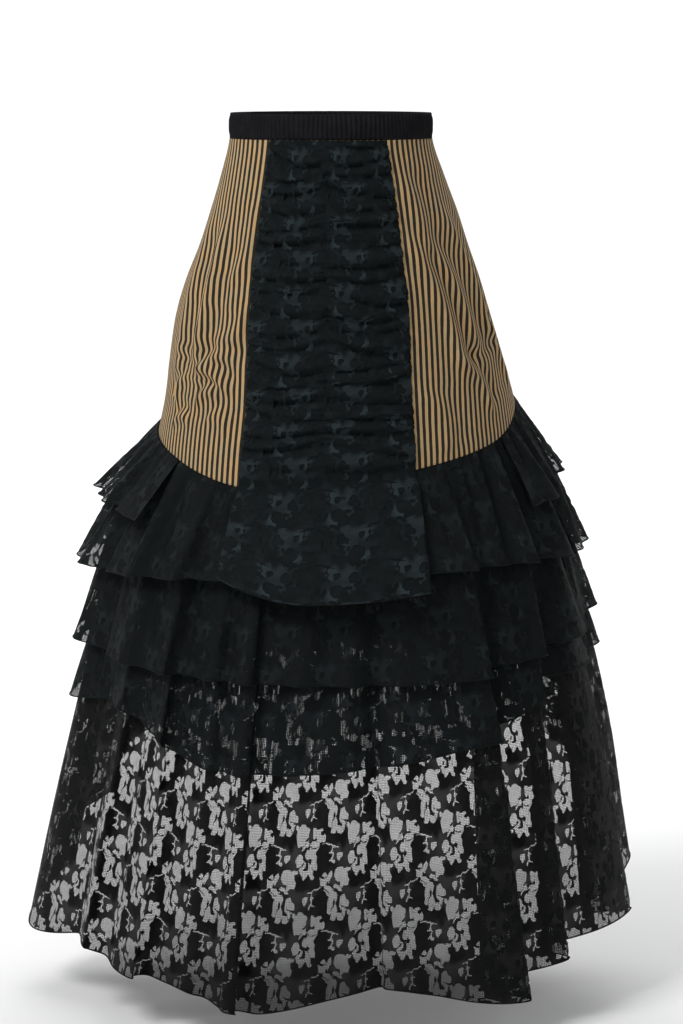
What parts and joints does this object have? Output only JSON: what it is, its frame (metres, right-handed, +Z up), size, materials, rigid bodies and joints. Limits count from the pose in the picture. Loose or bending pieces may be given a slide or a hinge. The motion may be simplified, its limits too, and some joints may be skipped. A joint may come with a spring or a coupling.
{
  "type": "striped skirt",
  "caption": "Long skirt held in its worn form: elastic waistband, striped yoke, ruched lace back panel, gathered lace ruffles and a long see-through lace flounce, shorter in front.",
  "frame": {"origin": "centre of the waist, at mid height of the waistband, where the wearer holds the skirt up", "axes": "+Z up, -Y towards the wearer's front, +X towards the wearer's left"},
  "size_m": [0.7252, 0.5648, 1.0088],
  "materials": {
    "striped_cotton": "tan and near-black woven stripe, matt",
    "ruched_lace": "black rose lace over plain black, ruched",
    "rose_lace": "black rose lace, soft sheen",
    "waist_elastic": "black gathered elastic casing"
  },
  "bodies": {
    "root": {"waistband_back": "waist_elastic", "waistband_front": "waist_elastic", "side_panel_left": "striped_cotton", "side_panel_right": "striped_cotton", "front_panel": "striped_cotton", "ruched_panel": "ruched_lace", "ruffle_short_left": "rose_lace", "ruffle_short_right": "rose_lace", "ruffle_first_back": "rose_lace", "ruffle_first_front": "rose_lace", "ruffle_second_back": "rose_lace", "ruffle_second_front": "rose_lace", "ruffle_third_back": "rose_lace", "ruffle_third_front": "rose_lace", "flounce_back": "rose_lace", "flounce_front": "rose_lace"}
  },
  "joints": []
}
